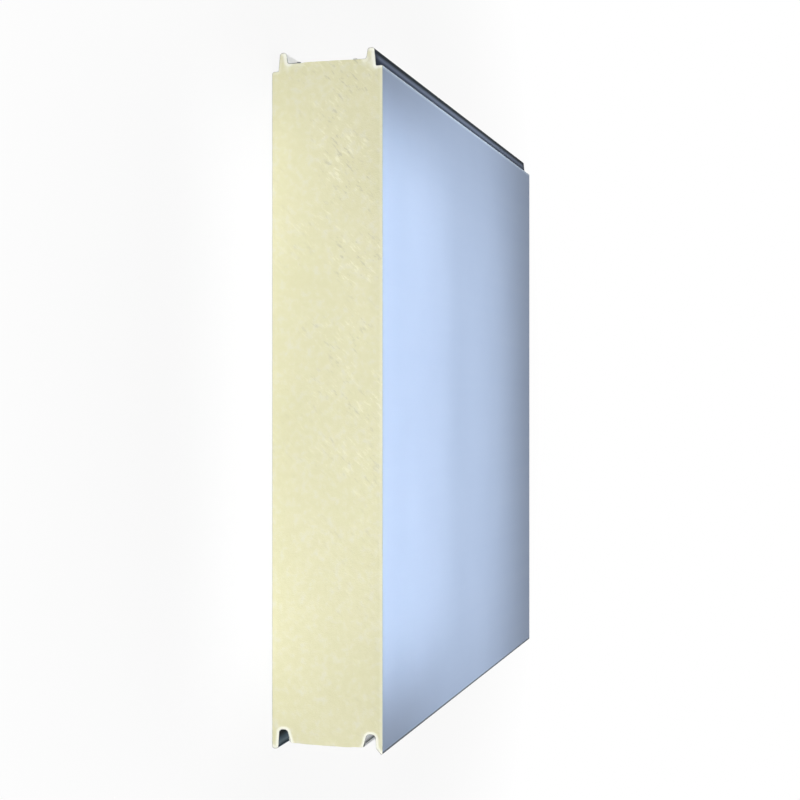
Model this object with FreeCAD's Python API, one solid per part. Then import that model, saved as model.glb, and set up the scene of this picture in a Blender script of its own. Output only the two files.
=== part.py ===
"""Insulated sandwich panel for cold stores: a rigid foam core between two roll-formed steel facings.

The panel lies flat. X runs across the cover width, from the tongue edge (-X) to the groove edge (+X),
Y runs along the panel's length, and Z through its thickness, from the inner facing (Z = 0) to the outer
facing. The origin is the centre of the underside. All sizes are in millimetres.
"""

import FreeCAD
import Part
import math
import os

# The panel as it is ordered.
COVER_WIDTH = 1000.0
THICKNESS = 170.0
LENGTH = 1100.0
SHEET = 0.6

# The joint between two panels: how far apart their facings and cores stop, and the play of the tongue.
OUTER_JOINT_GAP = 4.0
INNER_JOINT_GAP = 2.5
CORE_GAP = 2.0
TONGUE_PLAY = 4.5

# Tongue edge. "Rise" is measured outwards from the shelf, "depth" inwards from the flat of the facing.
SHELF_DEPTH = 10.0
TONGUE_RISE = 27.0
TONGUE_TIP_OUTER_DEPTH = 12.6
TONGUE_TIP_INNER_DEPTH = 22.2
TONGUE_FOOT_DEPTH = 25.0
CORE_RISE = 11.0
FLANGE_END_DEPTH = 44.0

# Groove edge.
LIP_ROOT_DEPTH = 9.8
GROOVE_TOP_OUTER_DEPTH = 11.4
GROOVE_TOP_INNER_DEPTH = 23.6
GROOVE_MOUTH_DEPTH = 29.5
BARE_FOAM_AT_MOUTH = 2.5

# The lip ends in a nose, then slopes back to its root. The outer one is sharp and the inner one round.
OUTER_NOSE_DEPTH = 2.6
OUTER_LIP_SLOPE = 8.0
INNER_NOSE_DEPTH = 7.2
INNER_LIP_SLOPE = 2.4

# Radii on the painted side of the sheet.
OUTER_FOLD_RADIUS = 1.6
INNER_FOLD_RADIUS = 4.0
NOSE_RADIUS = 1.4
SHELF_ROOT_RADIUS = 1.6
TONGUE_TIP_RADIUS = 4.4
TONGUE_FOOT_RADIUS = 3.0
LIP_ROOT_RADIUS = 2.0
GROOVE_TOP_RADIUS = 5.4
GROOVE_MOUTH_RADIUS = 2.4

# Both edges of a facing are folded back over its painted side in a closed hem.
HEM_LENGTH = 5.0
HEM_GAP = 0.5
HEM_RADIUS = 0.2

# Worked out from the above.
TIP_X = -(TONGUE_RISE + COVER_WIDTH - INNER_JOINT_GAP) / 2
SHELF_X = TIP_X + TONGUE_RISE
CORE_TONGUE_X = SHELF_X - CORE_RISE
NEXT_SHELF_X = SHELF_X + COVER_WIDTH
GROOVE_TOP_X = NEXT_SHELF_X - TONGUE_RISE - TONGUE_PLAY
CORE_GROOVE_X = NEXT_SHELF_X - CORE_RISE - CORE_GAP + 2 * SHEET


def joint_corners(joint_gap, fold_radius, nose_depth, lip_slope):
    """Corners (x, z, radius) of the painted side of one facing, laid at Z = 0, from the foot of its
    tongue to the mouth of its groove. The painted side lies to the right of this path."""
    lip_x = NEXT_SHELF_X - joint_gap
    return [
        (CORE_TONGUE_X, TONGUE_FOOT_DEPTH, TONGUE_FOOT_RADIUS),
        (TIP_X, TONGUE_TIP_INNER_DEPTH, TONGUE_TIP_RADIUS),
        (TIP_X, TONGUE_TIP_OUTER_DEPTH, TONGUE_TIP_RADIUS),
        (SHELF_X, SHELF_DEPTH, SHELF_ROOT_RADIUS),
        (SHELF_X, 0.0, fold_radius),
        (lip_x, 0.0, fold_radius),
        (lip_x, nose_depth, NOSE_RADIUS),
        (lip_x - lip_slope, LIP_ROOT_DEPTH, LIP_ROOT_RADIUS),
        (GROOVE_TOP_X, GROOVE_TOP_OUTER_DEPTH, GROOVE_TOP_RADIUS),
        (GROOVE_TOP_X, GROOVE_TOP_INNER_DEPTH, GROOVE_TOP_RADIUS),
        (CORE_GROOVE_X, GROOVE_MOUTH_DEPTH, GROOVE_MOUTH_RADIUS),
    ]


def direction(start, end):
    """Unit vector from one corner to the next, as (dx, dz)."""
    dx, dz = end[0] - start[0], end[1] - start[1]
    length = math.hypot(dx, dz)
    return dx / length, dz / length


def hem(before, end, side):
    """The three corners of the hem at the end of a straight run. The painted side lies to the left of
    the run if side is 1, to its right if side is -1."""
    dx, dz = direction(before, end)
    over_x, over_z = end[0] - dz * side * HEM_GAP, end[1] + dx * side * HEM_GAP
    return [
        (end[0], end[1], HEM_RADIUS),
        (over_x, over_z, HEM_RADIUS),
        (over_x - dx * HEM_LENGTH, over_z - dz * HEM_LENGTH, 0.0),
    ]


def sheet_corners(joint):
    """The painted side of the whole strip: the joint corners, with a hemmed flange on the tongue edge
    and a hem just inside the mouth of the groove."""
    foot, groove_top, mouth = joint[0], joint[-2], joint[-1]
    dx, dz = direction(groove_top, mouth)
    shortened = BARE_FOAM_AT_MOUTH / dx
    flange_end = (foot[0], FLANGE_END_DEPTH)
    wall_end = (mouth[0] - dx * shortened, mouth[1] - dz * shortened)
    return hem(foot, flange_end, 1)[::-1] + joint[:-1] + hem(groove_top, wall_end, -1)


def parallel_corners(corners, distance):
    """The corners of the path that runs the given distance to the left of the first one. A corner that
    turns left gets a smaller radius and one that turns right a larger one, so both share a centre."""
    moved = []
    for i, (x, z, radius) in enumerate(corners):
        before = direction(corners[i - 1], corners[i]) if i else direction(corners[0], corners[1])
        after = direction(corners[i], corners[i + 1]) if i < len(corners) - 1 else before
        turn = before[0] * after[1] - before[1] * after[0]
        spread = 1.0 + before[0] * after[0] + before[1] * after[1]
        if radius:
            radius -= math.copysign(distance, turn)
        moved.append((
            x - distance * (before[1] + after[1]) / spread,
            z + distance * (before[0] + after[0]) / spread,
            radius,
        ))
    return moved


def point(x, z):
    """A point of the section, which stands in the plane of the panel's near end."""
    return FreeCAD.Vector(x, -LENGTH / 2, z)


def panel_length_of(corners):
    """The solid whose section is the closed outline through these corners: straight runs joined by
    tangent arcs, drawn out over the panel's length."""
    starts, ends, arcs = [], [], []
    for before, corner, after in zip(corners[-1:] + corners, corners, corners[1:] + corners[:1]):
        arriving, leaving = direction(before, corner), direction(corner, after)
        here, radius = point(*corner[:2]), corner[2]
        half_turn = math.acos(arriving[0] * leaving[0] + arriving[1] * leaving[1]) / 2
        setback = radius * math.tan(half_turn)
        starts.append(here - point_offset(arriving, setback))
        ends.append(here + point_offset(leaving, setback))
        if radius:
            inward = point_offset(leaving, 1) - point_offset(arriving, 1)
            middle = here + inward.normalize() * (radius / math.cos(half_turn) - radius)
            arcs.append(Part.Arc(starts[-1], middle, ends[-1]).toShape())
        else:
            arcs.append(None)
    edges = []
    for i, arc in enumerate(arcs):
        edges.append(Part.LineSegment(ends[i - 1], starts[i]).toShape())
        if arc:
            edges.append(arc)
    return Part.Face(Part.Wire(edges)).extrude(FreeCAD.Vector(0, LENGTH, 0))


def point_offset(towards, distance):
    """A step of the given length in the plane of the section."""
    return FreeCAD.Vector(towards[0], 0, towards[1]) * distance


def turned_over(corners):
    """The same corners on the other facing: their mirror image about the panel's middle plane."""
    return [(x, THICKNESS - z, radius) for x, z, radius in corners]


def facing(joint):
    """One facing: a single strip of steel sheet, roll-formed along both long edges."""
    painted = sheet_corners(joint)
    return painted + parallel_corners(painted, SHEET)[::-1]


def core_half(joint):
    """The foam's boundary along one facing: it fills every fold of the sheet."""
    middle = THICKNESS / 2
    path = [(CORE_TONGUE_X, middle, 0.0)] + joint + [(CORE_GROOVE_X, middle, 0.0)]
    return parallel_corners(path, SHEET)[1:-1]


def build():
    """Every piece of the panel, by node name."""
    inner = joint_corners(INNER_JOINT_GAP, INNER_FOLD_RADIUS, INNER_NOSE_DEPTH, INNER_LIP_SLOPE)
    outer = joint_corners(OUTER_JOINT_GAP, OUTER_FOLD_RADIUS, OUTER_NOSE_DEPTH, OUTER_LIP_SLOPE)
    return {
        "inner_facing": panel_length_of(facing(inner)),
        "outer_facing": panel_length_of(turned_over(facing(outer))),
        "foam_core": panel_length_of(core_half(inner) + turned_over(core_half(outer))[::-1]),
    }


os.makedirs("parts", exist_ok=True)
for name, solid in build().items():
    box = solid.BoundBox
    print(f"{name}: valid {solid.isValid()}, volume {solid.Volume / 1e6:.3f} l, "
          f"x {box.XMin:.2f} to {box.XMax:.2f}, y {box.YMin:.1f} to {box.YMax:.1f}, "
          f"z {box.ZMin:.2f} to {box.ZMax:.2f}")
    solid.exportStep(f"parts/{name}.step")
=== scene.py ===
"""Insulated sandwich panel for cold stores, lying on its inner face: two roll-formed steel facings and
the rigid foam between them. X runs across the cover width from the tongues to the grooves, Y along the
length and Z through the thickness, in metres."""

import math

import bpy
import numpy as np
from mathutils import Matrix, Vector
from mathutils.geometry import delaunay_2d_cdt


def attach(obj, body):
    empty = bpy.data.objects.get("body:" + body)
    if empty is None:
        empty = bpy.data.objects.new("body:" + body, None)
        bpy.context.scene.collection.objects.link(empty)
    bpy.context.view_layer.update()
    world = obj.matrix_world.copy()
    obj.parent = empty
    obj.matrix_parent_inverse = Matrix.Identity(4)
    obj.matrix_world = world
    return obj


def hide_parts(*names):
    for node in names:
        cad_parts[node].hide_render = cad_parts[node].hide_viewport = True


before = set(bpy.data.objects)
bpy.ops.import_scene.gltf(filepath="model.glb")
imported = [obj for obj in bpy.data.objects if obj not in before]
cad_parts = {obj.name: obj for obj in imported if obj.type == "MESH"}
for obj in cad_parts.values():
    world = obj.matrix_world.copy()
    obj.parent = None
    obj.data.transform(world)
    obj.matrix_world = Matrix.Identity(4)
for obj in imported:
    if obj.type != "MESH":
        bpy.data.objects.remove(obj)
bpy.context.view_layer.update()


# --- Facings ----------------------------------------------------------------------------------------
# Each facing is one strip of coil-coated steel sheet, 0.6 mm thick, roll-formed along both long edges:
# a tongue with a hemmed flange on one edge, a lip and a groove on the other. The sawn ends show bare
# steel between two coats of paint. Foam grips the strip's back, so it needs no fixings.

COVER_WIDTH, THICKNESS, LENGTH, SHEET = 1.0, 0.170, 1.100, 0.0006
# Between two joined panels: how far apart their facings and cores stop, and the play of the tongue.
OUTER_JOINT_GAP, INNER_JOINT_GAP, CORE_GAP, TONGUE_PLAY = 0.0040, 0.0025, 0.0020, 0.0045
# A rise is measured outwards from the shelf, and a depth inwards from the flat of the facing.
TONGUE_RISE, CORE_RISE, FLANGE_END_DEPTH, BARE_FOAM_AT_MOUTH = 0.027, 0.011, 0.044, 0.0025
SHELF_DEPTH, TIP_OUTER_DEPTH, TIP_INNER_DEPTH, FOOT_DEPTH = 0.0100, 0.0126, 0.0222, 0.0250
LIP_ROOT_DEPTH, TOP_OUTER_DEPTH, TOP_INNER_DEPTH, MOUTH_DEPTH = 0.0098, 0.0114, 0.0236, 0.0295
SHELF_ROOT_RADIUS, TIP_RADIUS, FOOT_RADIUS = 0.0016, 0.0044, 0.0030
NOSE_RADIUS, LIP_ROOT_RADIUS, TOP_RADIUS, MOUTH_RADIUS = 0.0014, 0.0020, 0.0054, 0.0024
HEM_GAP, HEM_LENGTH, HEM_RADIUS = 0.0005, 0.005, 0.0002
TIP_X = -(TONGUE_RISE + COVER_WIDTH - INNER_JOINT_GAP) / 2
SHELF_X = TIP_X + TONGUE_RISE
NEXT_SHELF_X = SHELF_X + COVER_WIDTH
CORE_TONGUE_X = SHELF_X - CORE_RISE
CORE_GROOVE_X = NEXT_SHELF_X - CORE_RISE - CORE_GAP + 2 * SHEET
GROOVE_TOP_X = NEXT_SHELF_X - TONGUE_RISE - TONGUE_PLAY


def unit(vectors):
    """Each row divided by its own length."""
    return vectors / np.linalg.norm(vectors, axis=-1, keepdims=True)


def left_of(vectors):
    """Each row (x, z) turned a quarter to its left, which is (-z, x)."""
    return np.stack([-vectors[..., 1], vectors[..., 0]], -1)


def joint_corners(joint_gap, fold_radius, nose_depth, lip_slope):
    """Corners (x, z, radius) of the painted side of a facing laid at z = 0, from the foot of its tongue
    to the mouth of its groove, with the paint to the right of the path and the foam to its left."""
    lip_x = NEXT_SHELF_X - joint_gap
    return np.array([
        (CORE_TONGUE_X, FOOT_DEPTH, FOOT_RADIUS),
        (TIP_X, TIP_INNER_DEPTH, TIP_RADIUS),
        (TIP_X, TIP_OUTER_DEPTH, TIP_RADIUS),
        (SHELF_X, SHELF_DEPTH, SHELF_ROOT_RADIUS),
        (SHELF_X, 0.0, fold_radius),
        (lip_x, 0.0, fold_radius),
        (lip_x, nose_depth, NOSE_RADIUS),
        (lip_x - lip_slope, LIP_ROOT_DEPTH, LIP_ROOT_RADIUS),
        (GROOVE_TOP_X, TOP_OUTER_DEPTH, TOP_RADIUS),
        (GROOVE_TOP_X, TOP_INNER_DEPTH, TOP_RADIUS),
        (CORE_GROOVE_X, MOUTH_DEPTH, MOUTH_RADIUS),
    ])


def hem(before, end, side):
    """The corners of a closed hem at the end of the run from before to end: the sheet folds back over
    its painted side, which lies to the left of the run if side is 1 and to its right if it is -1."""
    along = unit(end - before)
    over = end + left_of(along) * side * HEM_GAP
    return np.array([(*end, HEM_RADIUS), (*over, HEM_RADIUS), (*(over - along * HEM_LENGTH), 0.0)])


def sheet_corners(joint):
    """The painted side of a whole strip: the joint corners between the hem of the tongue's flange and
    the hem at the groove's mouth, which stops short of it and leaves a little foam bare."""
    foot, top, mouth = joint[0, :2], joint[-2, :2], joint[-1, :2]
    along = unit(mouth - top)
    flange_hem = hem(foot, np.array([foot[0], FLANGE_END_DEPTH]), 1)[::-1]
    wall_hem = hem(top, mouth - along * BARE_FOAM_AT_MOUTH / along[0], -1)
    return np.concatenate([flange_hem, joint[:-1], wall_hem])


def parallel(corners, distance, closed=False):
    """The same path moved to its left. With unit directions a and b before and after a corner, the
    corner moves by distance * (left(a) + left(b)) / (1 + a.b), and its radius shrinks on a left turn
    and grows on a right turn, so that both bends share a centre."""
    points = corners[:, :2]
    before = unit(points - np.roll(points, 1, 0))
    after = np.roll(before, -1, 0)
    if not closed:
        before[0], after[-1] = after[0], before[-1]
    spread = 1 + (before * after).sum(1, keepdims=True)
    moved = points + distance * (left_of(before) + left_of(after)) / spread
    turn = before[:, 0] * after[:, 1] - before[:, 1] * after[:, 0]
    radius = np.where(corners[:, 2] > 0, corners[:, 2] - np.sign(turn) * distance, 0)
    return np.column_stack([moved, np.maximum(radius, 0)])


FOLD_MARGIN, ARC_LEAD = 0.004, 0.0003
FLAT_POINTS, SHEET_RINGS, SHARP_ANGLE = 40, 46, math.radians(35)
DIP, DIP_REACH, DIP_FADE = 0.00012, 0.47, 0.12


def rounded(corners, steps=9, closed=False):
    """The line of straight runs and tangent arcs through the corners. At a corner C with turn T, radius
    r, unit direction a before it and n its inner side, the arc is C - a r tan(T/2) + n r + r (a sin p
    - n cos p) for p from 0 to T. A point just before and after each arc keeps the flats flat."""
    points, radius = corners[:, :2], corners[:, 2:]
    run = points - np.roll(points, 1, 0)
    before = unit(run)
    after = np.roll(before, -1, 0)
    cross = before[:, :1] * after[:, 1:] - before[:, 1:] * after[:, :1]
    turn = np.arctan2(np.abs(cross), (before * after).sum(1, keepdims=True))
    inner = left_of(before) * np.sign(cross)
    setback = radius * np.tan(turn / 2)
    free = np.linalg.norm(run, axis=1, keepdims=True) - setback - np.roll(setback, 1, 0)
    lead = np.clip(free / 3, 0, ARC_LEAD)
    swing = turn[:, None] * np.linspace(0, 1, steps)[None, :, None]
    centre = points - before * setback + inner * radius
    arc = centre[:, None] + radius[:, None] * (
        before[:, None] * np.sin(swing) - inner[:, None] * np.cos(swing))
    entry = arc[:, :1] - (before * lead)[:, None]
    leave = arc[:, -1:] + (after * np.roll(lead, -1, 0))[:, None]
    bends = np.concatenate([entry, arc, leave], 1)
    if closed:
        return bends.reshape(-1, 2)
    return np.concatenate([points[:1], bends[1:-1].reshape(-1, 2), points[-1:]])


def with_flat_points(line, count):
    """The same line with more points along its longest straight run: count of them spaced evenly, and
    one at the fold margin inside each end."""
    lengths = np.linalg.norm(np.diff(line, axis=0), axis=1)
    longest = lengths.argmax()
    start, end = line[longest], line[longest + 1]
    margin = FOLD_MARGIN / lengths[longest]
    share = np.concatenate([[margin], np.linspace(0, 1, count + 2)[1:-1], [1 - margin]])[:, None]
    return np.concatenate([line[:longest + 1], start + (end - start) * share, line[longest + 1:]])


def finished_mesh(name, points, faces, held, values, slots):
    """The mesh of those points and faces. Each point holds its value under the name held, each face has
    its material slot, and edges that turn by less than the sharp angle are shaded smooth."""
    mesh = bpy.data.meshes.new(name)
    mesh.from_pydata(points.tolist(), [], faces)
    mesh.attributes.new(held, "FLOAT", "POINT").data.foreach_set("value", values)
    mesh.polygons.foreach_set("material_index", slots)
    mesh.polygons.foreach_set("use_smooth", np.ones(len(faces), bool))
    mesh.set_sharp_from_angle(angle=SHARP_ANGLE)
    mesh.update()
    return mesh


def facing_mesh(name, corners, turned_over):
    """The closed loop of painted side and back, carried along Y: point (i, j) is loop point i at ring j.
    The broad flat dips by up to DIP, a sum of long sine waves in x and y that fades out at its edges
    and ends, as sheet does where the foam behind it has shrunk a little. The attribute joint is how far
    round the strip a point lies past a line that is the fold margin inside the edge of the broad flat,
    in mm, and negative on the tongue side. The second material slot is for the strip's sawn ends and
    its two long edges."""
    painted_line = with_flat_points(rounded(corners), FLAT_POINTS)
    back_line = with_flat_points(rounded(parallel(corners, SHEET)), FLAT_POINTS)
    loop = np.concatenate([painted_line, back_line[::-1]])
    steps = np.linalg.norm(np.diff(painted_line, axis=0), axis=1)
    along = np.concatenate([[0], np.cumsum(steps)])
    broad = along[np.abs(painted_line[:, 1]) < 1e-6]
    past = (np.minimum(along - broad.min() - FOLD_MARGIN, 0)
            + np.maximum(along - broad.max() + FOLD_MARGIN, 0))
    rings = np.linspace(-LENGTH / 2, LENGTH / 2, SHEET_RINGS)
    x = np.repeat(loop[:, :1], len(rings), 1)
    y = np.broadcast_to(rings, x.shape)
    z = np.repeat(loop[:, 1:], len(rings), 1)
    waves = (np.sin(x * 17.3 + y * 6.1 + 0.7) + np.sin(y * 21.0 - x * 5.2 + 2.1)
             + np.sin(x * 9.1 - y * 13.7 + 4.0)) / 6 + 0.5
    across = np.clip((DIP_REACH - np.abs(x)) / DIP_FADE, 0, 1)
    fade = across * np.clip((LENGTH / 2 - np.abs(y)) / DIP_FADE, 0, 1)
    z = z + DIP * waves * fade * fade * (3 - 2 * fade) * (z < 0.002)
    if turned_over:
        z = THICKNESS - z
    sides, n_rings = x.shape
    index = np.arange(sides * n_rings).reshape(sides, n_rings)
    here, onward = index, np.roll(index, -1, 0)
    walls = np.stack([here[:, :-1], here[:, 1:], onward[:, 1:], onward[:, :-1]], -1).reshape(-1, 4)
    painted, back = index[:sides // 2], index[sides // 2:][::-1]
    near = np.stack([painted[:-1, 0], painted[1:, 0], back[1:, 0], back[:-1, 0]], -1)
    far = np.stack([painted[:-1, -1], back[:-1, -1], back[1:, -1], painted[1:, -1]], -1)
    faces = np.concatenate([walls, near, far])
    if turned_over:
        faces = faces[:, ::-1]
    joint = np.repeat(np.concatenate([past, past[::-1]]) * 1000, n_rings)
    slit = np.zeros((sides, n_rings - 1), int)
    slit[[sides // 2 - 1, -1]] = 1
    cut = np.concatenate([slit.ravel(), np.ones(len(near) + len(far), int)])
    points = np.stack([x, y, z], -1).reshape(-1, 3)
    return finished_mesh(name, points, faces.tolist(), "joint", joint, cut)


def new_material(name):
    """An empty node material: its node tree, its Principled shader and its object coordinates."""
    material = bpy.data.materials.new(name)
    material.use_nodes = True
    nodes = material.node_tree.nodes
    coordinates = nodes.new("ShaderNodeTexCoord").outputs["Object"]
    return material, material.node_tree, nodes["Principled BSDF"], coordinates


def noise(tree, coordinates, scale, detail=3.0, roughness=0.55, stretch=(1, 1, 1), turn=(0, 0, 0)):
    """A noise pattern on the object's own coordinates, drawn out that many times along each axis, and
    turned."""
    mapping = tree.nodes.new("ShaderNodeMapping")
    mapping.vector_type = "TEXTURE"
    mapping.inputs["Scale"].default_value = stretch
    mapping.inputs["Rotation"].default_value = turn
    pattern = tree.nodes.new("ShaderNodeTexNoise")
    pattern.inputs["Scale"].default_value = scale
    pattern.inputs["Detail"].default_value = detail
    pattern.inputs["Roughness"].default_value = roughness
    tree.links.new(coordinates, mapping.inputs["Vector"])
    tree.links.new(mapping.outputs["Vector"], pattern.inputs["Vector"])
    return pattern.outputs["Fac"]


def ramp(tree, value, low, high, to_low=0.0, to_high=1.0):
    """value from low to high, mapped to to_low to to_high and held beyond them."""
    node = tree.nodes.new("ShaderNodeMapRange")
    node.inputs["From Min"].default_value = low
    node.inputs["From Max"].default_value = high
    node.inputs["To Min"].default_value = to_low
    node.inputs["To Max"].default_value = to_high
    tree.links.new(value, node.inputs["Value"])
    return node.outputs["Result"]


def mixed(tree, factor, first, second):
    """Colour first where the factor is 0, second where it is 1. Each is a colour or another output, and
    the mix node takes colours at its sockets 6 and 7 and gives one at its output 2."""
    node = tree.nodes.new("ShaderNodeMix")
    node.data_type = "RGBA"
    tree.links.new(factor, node.inputs["Factor"])
    for socket, colour in ((node.inputs[6], first), (node.inputs[7], second)):
        if isinstance(colour, tuple):
            socket.default_value = (*colour, 1)
        else:
            tree.links.new(colour, socket)
    return node.outputs[2]


def bumped(tree, height, strength, distance, under=None):
    """A bump of that height pattern, laid over another bump if one is given."""
    node = tree.nodes.new("ShaderNodeBump")
    node.inputs["Strength"].default_value = strength
    node.inputs["Distance"].default_value = distance
    tree.links.new(height, node.inputs["Height"])
    if under is not None:
        tree.links.new(under, node.inputs["Normal"])
    return node.outputs["Normal"]


def combined(tree, operation, first, second=0.0):
    """Two values joined by that operation. The second is a number or another output."""
    node = tree.nodes.new("ShaderNodeMath")
    node.operation = operation
    tree.links.new(first, node.inputs[0])
    if isinstance(second, float):
        node.inputs[1].default_value = second
    else:
        tree.links.new(second, node.inputs[1])
    return node.outputs[0]


def held_value(tree, name):
    """The value that the mesh holds at each point under that name."""
    node = tree.nodes.new("ShaderNodeAttribute")
    node.attribute_name = name
    return node.outputs["Fac"]


def along_axes(tree, coordinates):
    """The X, Y and Z of the coordinates, each as a value of its own, in metres."""
    node = tree.nodes.new("ShaderNodeSeparateXYZ")
    tree.links.new(coordinates, node.inputs[0])
    return node.outputs


def banded(tree, value, bands):
    """The colour that the bands, a list of (value, colour), have at that value, blended between them.
    A new colour ramp already has a stop at each end, and those take the first and the last band."""
    node = tree.nodes.new("ShaderNodeValToRGB")
    low, high = bands[0][0], bands[-1][0]
    tree.links.new(ramp(tree, value, low, high), node.inputs["Fac"])
    stops = node.color_ramp.elements
    for at, colour in bands:
        stop = stops[0] if at == low else stops[-1] if at == high else stops.new((at - low) / (high - low))
        stop.color = (*colour, 1)
    return node.outputs["Color"]


def fold_light_and_shade(groove_top):
    """The strip's painted light and shade across its folds, by how far round it they lie, in mm: a painted
    highlight on the tongue's fold, painted shade in the corner of its shelf, a flank painted darker as if
    shaded, a painted black shade line at its tip, and painted near-white light beyond; on the other side
    painted shade on the fold at the lip, then a groove wall painted as shaded, black up to the groove's
    top, which lies groove_top mm round, and painted near-white light again on the core's side."""
    # Painted light and shade: near-white where a side is painted as brightly lit, black for deep shade.
    painted_white_light, painted_black_shade = (0.90, 0.91, 0.92), (0.006, 0.009, 0.010)
    return [
        (-50.0, painted_white_light),
        (-46.0, (0.300, 0.320, 0.350)),
        (-43.5, (0.008, 0.015, 0.022)),
        (-34.5, (0.008, 0.015, 0.022)),
        (-31.8, (0.140, 0.175, 0.250)),
        (-29.0, (0.240, 0.290, 0.400)),
        (-26.5, (0.130, 0.165, 0.245)),
        (-23.5, (0.035, 0.052, 0.088)),
        (-8.0, (0.035, 0.052, 0.088)),
        (-6.6, (0.600, 0.720, 0.900)),
        (-3.0, (0.640, 0.780, 0.960)),
        (-0.8, (0.500, 0.630, 0.850)),
        (1.0, (0.500, 0.630, 0.850)),
        (3.2, (0.030, 0.042, 0.060)),
        (8.0, (0.030, 0.042, 0.060)),
        (12.0, (0.110, 0.145, 0.200)),
        (16.0, (0.060, 0.080, 0.110)),
        (18.5, (0.016, 0.026, 0.036)),
        (23.5, (0.155, 0.210, 0.245)),
        (28.0, (0.080, 0.120, 0.155)),
        (32.0, (0.033, 0.050, 0.062)),
        (36.0, painted_black_shade),
        (groove_top - 1.0, painted_black_shade),
        (groove_top + 1.5, painted_white_light),
        (90.0, painted_white_light),
    ]


def coil_coating(name, groove_top):
    """Light-blue polyester coating: satin, with fine orange peel and faint roller lines along the strip,
    painted darker close to the sawn ends as shade, and chipped at them. The folds are matt and carry
    painted highlights and shade of their own."""
    material, tree, shader, coordinates = new_material(name)
    cloud = noise(tree, coordinates, 5.0, 2.0)
    lines = noise(tree, coordinates, 60.0, 2.0, stretch=(1, 50, 1))
    tone = mixed(tree, ramp(tree, cloud, 0.35, 0.65), (0.431, 0.547, 0.765), (0.447, 0.565, 0.785))
    from_middle = combined(tree, "ABSOLUTE", along_axes(tree, coordinates)["Y"])
    # Painted shade: the coating darkens within about 14 mm of each sawn end.
    tone = mixed(tree, ramp(tree, from_middle, 0.536, 0.549, 0, 0.15), tone, (0.200, 0.255, 0.350))
    past = held_value(tree, "joint")
    # Painted highlights and shade across the folds, by how far round the strip a point lies.
    fold_shading = banded(tree, past, fold_light_and_shade(groove_top))
    # Painted shade: the tongue's flank darkens towards the sawn ends.
    flank = combined(tree, "MULTIPLY", ramp(tree, past, -44.0, -45.5, 1, 0), ramp(tree, past, -7.5, -8.5))
    painted_shade_at_ends = combined(tree, "MULTIPLY", ramp(tree, from_middle, 0.524, 0.544, 0, 0.8), flank)
    fold_shading = mixed(tree, painted_shade_at_ends, fold_shading, (0.020, 0.026, 0.045))
    into_fold = combined(tree, "ABSOLUTE", past)
    tone = mixed(tree, ramp(tree, into_fold, 0.0, 0.7), tone, fold_shading)
    chips = noise(tree, coordinates, 700.0, 3.0, 0.7)
    chipped = combined(tree, "ADD", from_middle, ramp(tree, chips, 0.45, 0.75, 0.0001, 0.0012))
    chipped = ramp(tree, chipped, LENGTH / 2 - 0.0001, LENGTH / 2)
    tone = mixed(tree, chipped, tone, (0.42, 0.43, 0.43))
    tree.links.new(tone, shader.inputs["Base Color"])
    satin = ramp(tree, lines, 0.3, 0.7, 0.53, 0.58)
    dull = combined(tree, "ADD", satin, ramp(tree, into_fold, 6.5, 9.0, 0, 0.4))
    tree.links.new(dull, shader.inputs["Roughness"])
    peel = noise(tree, coordinates, 420.0, 2.0)
    tree.links.new(bumped(tree, peel, 0.10, 0.0004), shader.inputs["Normal"])
    shader.inputs["Specular IOR Level"].default_value = 0.15
    return material


def cut_steel(name, shade_from, shade_to):
    """Sawn edge of the sheet: bright zinc with fine saw scratches across it, with painted black shade past
    the given stretch of the joint, in mm, where the edge lies in shadow."""
    material, tree, shader, coordinates = new_material(name)
    scratch = noise(tree, coordinates, 900.0, 2.0, stretch=(1, 1, 10))
    tone = mixed(tree, scratch, (0.52, 0.53, 0.49), (0.68, 0.69, 0.64))
    # Painted shade: the cut edge turns black where it lies in shadow.
    shade_mask = ramp(tree, held_value(tree, "joint"), shade_from, shade_to)
    tone = mixed(tree, shade_mask, tone, (0.015, 0.020, 0.022))
    tree.links.new(tone, shader.inputs["Base Color"])
    tree.links.new(ramp(tree, scratch, 0.3, 0.7, 0.45, 0.60), shader.inputs["Roughness"])
    tree.links.new(bumped(tree, scratch, 0.3, 0.0001), shader.inputs["Normal"])
    shader.inputs["Specular IOR Level"].default_value = 0.2
    return material


inner_joint = joint_corners(INNER_JOINT_GAP, fold_radius=0.0040, nose_depth=0.0072, lip_slope=0.0024)
outer_joint = joint_corners(OUTER_JOINT_GAP, fold_radius=0.0016, nose_depth=0.0026, lip_slope=0.0080)
for side, joint, groove_top, edge_shade in (
        ("inner", inner_joint, 47.6, (-57.0, -59.0)), ("outer", outer_joint, 41.7, (30.0, 33.0))):
    mesh = facing_mesh(side + "_facing_sheet", sheet_corners(joint), side == "outer")
    mesh.materials.append(coil_coating(side + "_coating", groove_top))
    mesh.materials.append(cut_steel(side + "_cut_edge", *edge_shade))
    sheet = bpy.data.objects.new(mesh.name, mesh)
    bpy.context.scene.collection.objects.link(sheet)
    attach(sheet, "root")
    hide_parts(side + "_facing")


# --- Foam core --------------------------------------------------------------------------------------
# Rigid polyurethane foam, poured between the facings and set there, so it fills the tongues and lips
# and holds the sheets by itself. Its ends are sawn with the steel and show the open cells; its edges
# between the flanges keep the smooth skin of the mould.

SAWN_BACK = 0.0003
EDGE_SWELL, EDGE_WAVES, SWELL_FADE = 0.0008, 0.0003, 0.008
OUTLINE_STEP, CORE_RINGS, CLOSE_STEP, WIDE_STEP = 0.006, 40, 0.0022, 0.009
SKIN_FULL, SKIN_GONE, FLAT_REACH = 0.0024, 0.0048, 0.478


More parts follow.
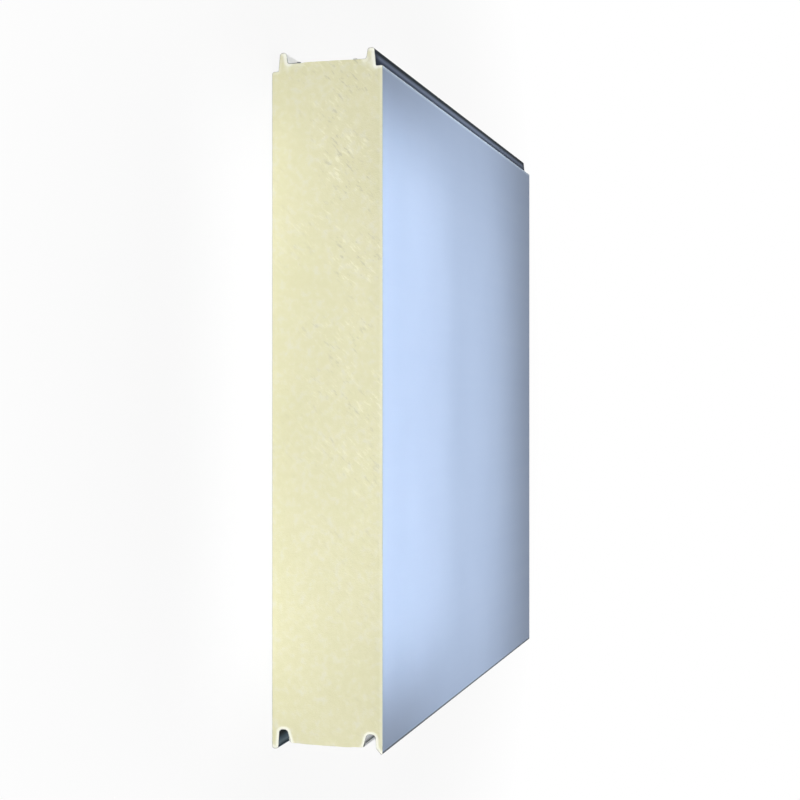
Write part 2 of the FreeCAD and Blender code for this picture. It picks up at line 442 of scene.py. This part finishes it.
def core_corners(inner, outer):
    """The closed outline of the core: its line along the inner facing's back, then the mirror image of
    its line along the outer facing's back, taken the other way round."""
    halves = []
    for joint in (inner, outer):
        path = np.concatenate([
            [(CORE_TONGUE_X, THICKNESS / 2, 0)], joint, [(CORE_GROOVE_X, THICKNESS / 2, 0)]])
        halves.append(parallel(path, SHEET)[1:-1])
    mirrored = halves[1] * (1, -1, 1) + (0, THICKNESS, 0)
    return np.concatenate([halves[0], mirrored[::-1]])


def divided(line, spacing):
    """The closed line with no two points further apart than the spacing: a run from a to b gets
    n = ceil(length / spacing) steps, and step k starts at a + (b - a) k / n."""
    run = np.roll(line, -1, 0) - line
    steps = np.ceil(np.linalg.norm(run, axis=1) / spacing).astype(int)
    start = np.repeat(np.arange(len(line)), steps)
    k = np.arange(len(start)) - np.repeat(np.cumsum(steps) - steps, steps)
    return line[start] + run[start] * (k / steps[start])[:, None]


def run_distances(points, line):
    """Each point's distance to each run of the closed line: from p to a + (b - a) t on the run from a
    to b, where t is (p - a).(b - a) / |b - a|^2, held between 0 and 1."""
    a, b = line[None], np.roll(line, -1, 0)[None]
    p = points[:, None]
    share = np.clip(((p - a) * (b - a)).sum(-1) / ((b - a) ** 2).sum(-1), 0, 1)
    return np.linalg.norm(p - a - (b - a) * share[..., None], axis=-1)


def depth_inside(points, line):
    """Each point's distance to the closed line, and negative outside it: a point is inside if a ray
    towards +x crosses the line an odd number of times."""
    a, b = line[None], np.roll(line, -1, 0)[None]
    p = points[:, None]
    distance = run_distances(points, line).min(1)
    spans = (a[..., 1] > p[..., 1]) != (b[..., 1] > p[..., 1])
    rise = np.where(spans, b[..., 1] - a[..., 1], 1)
    crossing = a[..., 0] + (b[..., 0] - a[..., 0]) * (p[..., 1] - a[..., 1]) / rise
    inside = (spans & (p[..., 0] < crossing)).sum(1) % 2
    return np.where(inside, distance, -distance)


def staggered(spacing):
    """A lattice over the whole section, its rows 0.866 of a step apart, and every other row moved on by
    half a step, so that the triangles between its points are equilateral."""
    x = np.arange(TIP_X, -TIP_X, spacing)[None]
    z = np.arange(0, THICKNESS, spacing * 0.866)[:, None]
    odd = np.arange(len(z))[:, None] % 2
    return np.stack([x + odd * spacing / 2, z + 0 * x], -1).reshape(-1, 2)


def dense_skin(points, line):
    """How white the foam is at each point, 0 to 1: partly its denser skin and partly a painted highlight
    along the outline. It is full up to SKIN_FULL from the outline and gone at SKIN_GONE, and reaches
    nearly half as deep again on the sides of a tongue that don't face down. That is times a strength for
    each run: full in the groove, strong on the upward sides of a tongue and weak on its others, more on
    the upper tongue, slight along the upper flat, none along the lower one, and none further in from the
    facings than skin_end, which is about where the folds end. The extra on upward sides and on the upper
    half is painted light."""
    a, b = line, np.roll(line, -1, 0)
    middle = (a + b) / 2
    upward = -left_of(unit(b - a))[:, 1]
    above = middle[:, 1] > THICKNESS / 2
    in_face = np.minimum(middle[:, 1], THICKNESS - middle[:, 1])
    skin_end = np.where(middle[:, 0] > 0, 0.031, np.where(above, 0.027, 0.043))
    flat = (np.abs(middle[:, 0]) < FLAT_REACH) | (in_face < 2 * SHEET)
    strength = np.where(middle[:, 0] > 0, 1.0, np.clip(0.35 + upward + 0.6 * above, 0.2, 1))
    strength = np.where(flat, 0.25 * above, strength)
    strength = np.where(in_face > skin_end, 0, strength)
    deeper = np.where((middle[:, 0] < SHELF_X) & (upward > -0.5), 0.7, 1)
    distance = run_distances(points, line) * deeper
    return (np.clip((SKIN_GONE - distance) / (SKIN_GONE - SKIN_FULL), 0, 1) * strength).max(1)


def core_mesh(name, corners):
    """Walls: the outline carried along Y, point (i, j) being outline point i at ring j. Between the
    steel flanges they swell out by EDGE_SWELL, and stand out and in by EDGE_WAVES more, a sum of sine
    waves in y and z. Sawn ends, in the second material slot: triangles over a close lattice, 1 to 6 mm
    from the outline, and a wide one from 8 mm on. The attribute skin is how dense the
    foam is at a point, with a painted highlight along the outline added."""
    outline = divided(rounded(corners, closed=True), OUTLINE_STEP)
    rings = np.linspace(-LENGTH / 2 + SAWN_BACK, LENGTH / 2 - SAWN_BACK, CORE_RINGS)
    x, z = (np.repeat(outline[:, k:k + 1], len(rings), 1) for k in (0, 1))
    y = np.broadcast_to(rings, x.shape)
    waves = (np.sin(z * 150 + y * 9 + 1.0) + np.sin(z * 67 - y * 23) + np.sin(y * 41 + z * 31 + 2.0)) / 3
    bare = np.clip((THICKNESS / 2 - FLANGE_END_DEPTH - np.abs(z - THICKNESS / 2)) / SWELL_FADE, 0, 1)
    side = np.where(x > 0, x > CORE_GROOVE_X - 0.001, x < CORE_TONGUE_X + 0.001)
    x = x + (EDGE_SWELL * np.sign(x) + EDGE_WAVES * waves) * bare * side
    count, n_rings = x.shape
    index = np.arange(x.size).reshape(x.shape)
    onward = np.roll(index, -1, 0)
    walls = np.stack([index[:, :-1], index[:, 1:], onward[:, 1:], onward[:, :-1]], -1).reshape(-1, 4)
    vertices = [np.stack([x, y, z], -1).reshape(-1, 3)]
    skin = [np.zeros(x.size)]
    faces = walls.tolist()
    for ring, flip in ((0, 1), (n_rings - 1, -1)):
        edge = np.stack([x[:, ring], z[:, ring]], -1)
        close, wide = staggered(CLOSE_STEP), staggered(WIDE_STEP)
        close_depth, wide_depth = depth_inside(close, edge), depth_inside(wide, edge)
        close_kept, wide_kept = (close_depth > 0.001) & (close_depth < 0.006), wide_depth > 0.008
        inner = np.concatenate([close[close_kept], wide[wide_kept]])
        flat = [Vector(point) for point in np.concatenate([edge, inner]).tolist()]
        _, _, triangles, source, _, _ = delaunay_2d_cdt(flat, [], [list(range(count))], 1, 1e-7)
        first = sum(map(len, vertices))
        place = np.concatenate([index[:, ring], first + np.arange(len(inner))])
        place = place[np.array(source)[:, 0]]
        faces += place[np.array(triangles)][:, ::flip].tolist()
        y_end = np.full(len(inner), rings[ring])
        vertices.append(np.stack([inner[:, 0], y_end, inner[:, 1]], -1))
        skin[0].reshape(x.shape)[:, ring] = dense_skin(edge, edge)
        skin.append(dense_skin(inner, edge))
    sawn = (np.arange(len(faces)) >= len(walls)).astype(int)
    return finished_mesh(name, np.concatenate(vertices), faces, "skin", np.concatenate(skin), sawn)


def moulded_foam():
    """Foam that set against a mould: closed, slightly shiny skin with shallow ripples."""
    material, tree, shader, coordinates = new_material("moulded_foam")
    ripple = noise(tree, coordinates, 45.0, 4.0, stretch=(1, 3, 1))
    tone = mixed(tree, ripple, (0.74, 0.70, 0.45), (0.86, 0.83, 0.58))
    tree.links.new(tone, shader.inputs["Base Color"])
    tree.links.new(ramp(tree, ripple, 0.3, 0.7, 0.55, 0.75), shader.inputs["Roughness"])
    tree.links.new(bumped(tree, ripple, 0.5, 0.0008), shader.inputs["Normal"])
    return material


def sawn_foam():
    """Sawn foam: fine open cells, soft mottling, a nearly white band where it filled the joint folds,
    partly a denser skin and partly painted highlight, and clusters of short slanting tears, most of
    them where the saw came out, towards the outer facing and the tongues."""
    material, tree, shader, coordinates = new_material("sawn_foam")
    cloud = noise(tree, coordinates, 9.0, 3.0)
    mottle = noise(tree, coordinates, 95.0, 4.0, 0.6)
    slant = (0, -math.pi / 4, 0)
    tears = noise(tree, coordinates, 230.0, 3.0, 0.6, stretch=(3.5, 1, 1), turn=slant)
    where = noise(tree, coordinates, 14.0, 2.0)
    cells = tree.nodes.new("ShaderNodeTexVoronoi")
    cells.inputs["Scale"].default_value = 850.0
    tree.links.new(coordinates, cells.inputs["Vector"])
    tone = mixed(tree, ramp(tree, cloud, 0.35, 0.65), (0.780, 0.760, 0.515), (0.805, 0.782, 0.545))
    tone = mixed(tree, ramp(tree, mottle, 0.60, 0.38, 0, 0.45), tone, (0.740, 0.720, 0.450))
    tone = mixed(tree, ramp(tree, mottle, 0.52, 0.70, 0, 0.6), tone, (0.800, 0.790, 0.640))
    place = along_axes(tree, coordinates)
    across = ramp(tree, place["X"], 0.22, -0.02, 0.25, 1.0)
    leaving = combined(tree, "MULTIPLY", across, ramp(tree, place["Z"], 0.03, 0.11, 0.3, 1.0))
    clustered = combined(tree, "MULTIPLY", ramp(tree, where, 0.42, 0.56), leaving)
    dark_tears = combined(tree, "MULTIPLY", ramp(tree, tears, 0.59, 0.68, 0, 0.75), clustered)
    pale_tears = combined(tree, "MULTIPLY", ramp(tree, tears, 0.43, 0.32, 0, 0.9), clustered)
    tone = mixed(tree, dark_tears, tone, (0.62, 0.60, 0.42))
    tone = mixed(tree, pale_tears, tone, (0.90, 0.88, 0.66))
    # Nearly white where the foam's skin is dense, and as a painted highlight along the outline.
    tone = mixed(tree, held_value(tree, "skin"), tone, (1.00, 1.00, 0.88))
    tree.links.new(tone, shader.inputs["Base Color"])
    relief = bumped(tree, cells.outputs["Distance"], 0.5, 0.0004)
    relief = bumped(tree, mottle, 0.35, 0.0012, relief)
    relief = bumped(tree, dark_tears, -0.4, 0.0010, relief)
    tree.links.new(relief, shader.inputs["Normal"])
    shader.inputs["Roughness"].default_value = 0.95
    shader.inputs["Specular IOR Level"].default_value = 0.2
    return material


mesh = core_mesh("foam_block", core_corners(inner_joint, outer_joint))
mesh.materials.append(moulded_foam())
mesh.materials.append(sawn_foam())
foam_block = bpy.data.objects.new(mesh.name, mesh)
bpy.context.scene.collection.objects.link(foam_block)
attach(foam_block, "root")
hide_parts("foam_core")


# --- Floor, light and camera ------------------------------------------------------------------------
# A plain pale floor under the panel and a pale room around it. Broad lamps stand before its near end,
# off both sides and behind it, small ones close to that end, and gridded softboxes hang above it,
# strongest over that end.

def floor_disc(radius, rings, spokes):
    """Point (i, j) of the disc lies at radius * s * s in direction 2 pi j / spokes, where s goes from
    0.02 to 1 over the rings. One face closes the middle."""
    reach = radius * np.linspace(0.02, 1, rings)[:, None] ** 2
    angle = np.linspace(0, 2 * math.pi, spokes, endpoint=False)[None]
    places = np.stack([reach * np.cos(angle), reach * np.sin(angle), 0 * reach * angle], -1)
    index = np.arange(rings * spokes).reshape(rings, spokes)
    beside = np.roll(index, -1, 1)
    quads = np.stack([index[:-1], index[1:], beside[1:], beside[:-1]], -1).reshape(-1, 4)
    mesh = bpy.data.meshes.new("floor")
    mesh.from_pydata(places.reshape(-1, 3).tolist(), [], quads.tolist() + [index[0].tolist()])
    return mesh


def white_to_the_eye(tree, shader_out, plain_white, share=None):
    """The shader, swapped for plain white where the camera, a gloss or a clear pane looks at it, or
    partly swapped where a share is given."""
    paths = tree.nodes.new("ShaderNodeLightPath").outputs
    seen = combined(tree, "MAXIMUM", paths["Is Camera Ray"], paths["Is Glossy Ray"])
    seen = combined(tree, "MAXIMUM", seen, paths["Is Transmission Ray"])
    if share is not None:
        seen = combined(tree, "MULTIPLY", seen, share)
    white = tree.nodes.new(plain_white)
    white.inputs["Color"].default_value = (1, 1, 1, 1)
    white.inputs["Strength"].default_value = 1.0
    blend = tree.nodes.new("ShaderNodeMixShader")
    tree.links.new(seen, blend.inputs[0])
    tree.links.new(shader_out, blend.inputs[1])
    tree.links.new(white.outputs[0], blend.inputs[2])
    return blend.outputs[0]


FLOOR_DROP = 0.0003
mesh = floor_disc(radius=14.0, rings=40, spokes=64)
paper, tree, shader, coordinates = new_material("paper_floor")
grain = noise(tree, coordinates, 30.0, 3.0)
tree.links.new(mixed(tree, grain, (0.62, 0.62, 0.62), (0.66, 0.66, 0.66)), shader.inputs["Base Color"])
shader.inputs["Roughness"].default_value = 0.9
shader.inputs["Specular IOR Level"].default_value = 0.1
reach = tree.nodes.new("ShaderNodeVectorMath")
reach.operation = "LENGTH"
tree.links.new(coordinates, reach.inputs[0])
# Close to the panel the floor is 91% plain white, so that a faint shadow shows, and further out all.
share = ramp(tree, reach.outputs["Value"], 0.75, 1.6, 0.91, 1.0)
tree.links.new(white_to_the_eye(tree, shader.outputs[0], "ShaderNodeEmission", share),
               tree.nodes["Material Output"].inputs["Surface"])
mesh.materials.append(paper)
floor = bpy.data.objects.new("floor", mesh)
floor.location.z = -FLOOR_DROP
bpy.context.scene.collection.objects.link(floor)

world = bpy.data.worlds.new("room")
world.use_nodes = True
tree = world.node_tree
ambient = tree.nodes["Background"]
ambient.inputs["Color"].default_value = (1, 1, 1, 1)
ambient.inputs["Strength"].default_value = 0.23
tree.links.new(white_to_the_eye(tree, ambient.outputs[0], "ShaderNodeBackground"),
               tree.nodes["World Output"].inputs["Surface"])
bpy.context.scene.world = world


def aimed_lamp(name, place, target, power, width, height, spread=180):
    """A rectangular softbox at that place, facing the target, with its beam narrowed by a grid to that
    many degrees, if fewer than 180. It lights, but doesn't show in the view."""
    data = bpy.data.lights.new(name, "AREA")
    data.shape, data.size, data.size_y = "RECTANGLE", width, height
    data.energy, data.spread = power, math.radians(spread)
    lamp = bpy.data.objects.new(name, data)
    lamp.location = place
    lamp.rotation_euler = (Vector(target) - Vector(place)).to_track_quat("-Z", "Y").to_euler()
    lamp.visible_camera = False
    bpy.context.scene.collection.objects.link(lamp)


# Name, place and target in metres, power in watts, width and height in metres, and any grid's angle.
aimed_lamp("front_lamp", (0.0, -3.6, 0.30), (0.0, -0.55, 0.1), 14.5, 3.2, 0.6)
aimed_lamp("end_softbox", (0.02, -1.35, 0.22), (0.02, -0.55, 0.20), 0.05, 0.50, 0.05, 24)
aimed_lamp("tongue_lamp", (-0.75, -1.05, 0.09), (-0.45, -0.55, 0.085), 0.9, 0.30, 0.16)
aimed_lamp("groove_lamp", (0.75, -1.05, 0.09), (0.45, -0.55, 0.085), 1.1, 0.30, 0.16)
aimed_lamp("tongue_side_lamp", (-2.4, -0.9, 0.27), (-0.5, -0.4, 0.12), 24.0, 1.6, 0.4)
aimed_lamp("groove_side_lamp", (2.4, -0.9, 0.27), (0.5, -0.4, 0.12), 24.0, 1.6, 0.4)
for name, y, power in (("near", -0.68, 0.72), ("second", -0.48, 0.44), ("third", -0.28, 0.26)):
    aimed_lamp(name + "_softbox", (0.005, y - 0.1, 1.18), (0.005, y, 0.0), power, 0.84, 0.26, 16)
aimed_lamp("far_softbox", (0.028, -0.085, 1.18), (0.028, 0.022, 0.0), 1.62, 1.11, 0.68, 44)
aimed_lamp("tongue_back_lamp", (-2.0, 2.4, 0.30), (0.0, 0.5, 0.1), 26.0, 1.6, 0.5)
aimed_lamp("groove_back_lamp", (2.0, 2.4, 0.30), (0.0, 0.5, 0.1), 26.0, 1.6, 0.5)

# The camera looks along the panel and tilts down to it, turned on its side, with the tongues at its top.
TILT, CAMERA_PLACE = math.radians(15.96), (-0.0015, -2.6408, 0.7941)
camera_data = bpy.data.cameras.new("camera")
camera_data.lens = 68.00
camera_data.clip_start, camera_data.clip_end = 0.05, 60.0
camera = bpy.data.objects.new("camera", camera_data)
right = (0, math.sin(TILT), math.cos(TILT))
up = (-1, 0, 0)
back = (0, -math.cos(TILT), math.sin(TILT))
camera.matrix_world = Matrix([*zip(right, up, back, CAMERA_PLACE), (0, 0, 0, 1)])
bpy.context.scene.collection.objects.link(camera)
bpy.context.scene.camera = camera
bpy.context.scene.view_settings.view_transform = "Standard"
